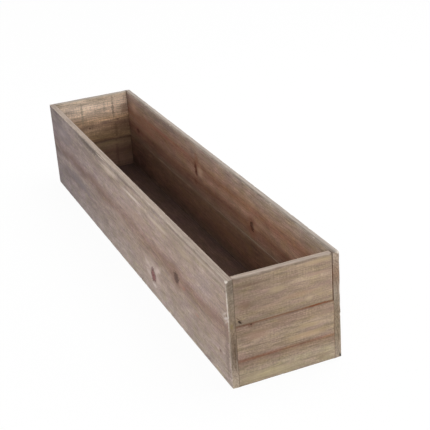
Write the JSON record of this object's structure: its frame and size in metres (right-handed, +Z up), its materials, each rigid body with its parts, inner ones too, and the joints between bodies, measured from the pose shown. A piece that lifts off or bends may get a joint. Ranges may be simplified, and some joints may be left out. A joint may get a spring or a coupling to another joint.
{
  "type": "window box planter",
  "caption": "Long narrow open-topped wooden planting box: thin edge-jointed boards, ends set between the long sides, a bottom inside the walls, pinned with brads.",
  "frame": {"origin": "middle of the underside", "axes": "+X along the length, towards the end with the high seam; +Y towards the long side made of two boards; +Z up"},
  "size_m": [0.78, 0.152, 0.15],
  "materials": {
    "front_board_fir": "rough-sawn fir, grey-brown stain, worn",
    "back_board_fir": "rough-sawn fir, reddish brown stain, knotty",
    "near_end_fir": "rough-sawn fir, tan, banded grain",
    "far_end_fir": "rough-sawn fir, pale tan, saw marked",
    "bottom_board_fir": "rough-sawn fir, dark brown stain",
    "brad_steel": "bright drawn wire, dulled"
  },
  "bodies": {
    "root": {"front_side_board": "front_board_fir", "back_side_board_lower": "back_board_fir", "back_side_board_upper": "back_board_fir", "near_end_board_lower": "near_end_fir", "near_end_board_upper": "near_end_fir", "far_end_board_lower": "far_end_fir", "far_end_board_upper": "far_end_fir", "bottom_board": "bottom_board_fir", "brad_front_near_1": "brad_steel", "brad_front_near_2": "brad_steel", "brad_front_near_3": "brad_steel", "brad_front_near_4": "brad_steel", "brad_front_far_1": "brad_steel", "brad_front_far_2": "brad_steel", "brad_front_far_3": "brad_steel", "brad_front_far_4": "brad_steel", "brad_back_near_1": "brad_steel", "brad_back_near_2": "brad_steel", "brad_back_near_3": "brad_steel", "brad_back_near_4": "brad_steel", "brad_back_far_1": "brad_steel", "brad_back_far_2": "brad_steel", "brad_back_far_3": "brad_steel", "brad_back_far_4": "brad_steel", "brad_front_bottom_1": "brad_steel", "brad_front_bottom_2": "brad_steel", "brad_front_bottom_3": "brad_steel", "brad_front_bottom_4": "brad_steel", "brad_front_bottom_5": "brad_steel", "brad_front_bottom_6": "brad_steel", "brad_back_bottom_1": "brad_steel", "brad_back_bottom_2": "brad_steel", "brad_back_bottom_3": "brad_steel", "brad_back_bottom_4": "brad_steel", "brad_back_bottom_5": "brad_steel", "brad_back_bottom_6": "brad_steel"}
  },
  "joints": []
}
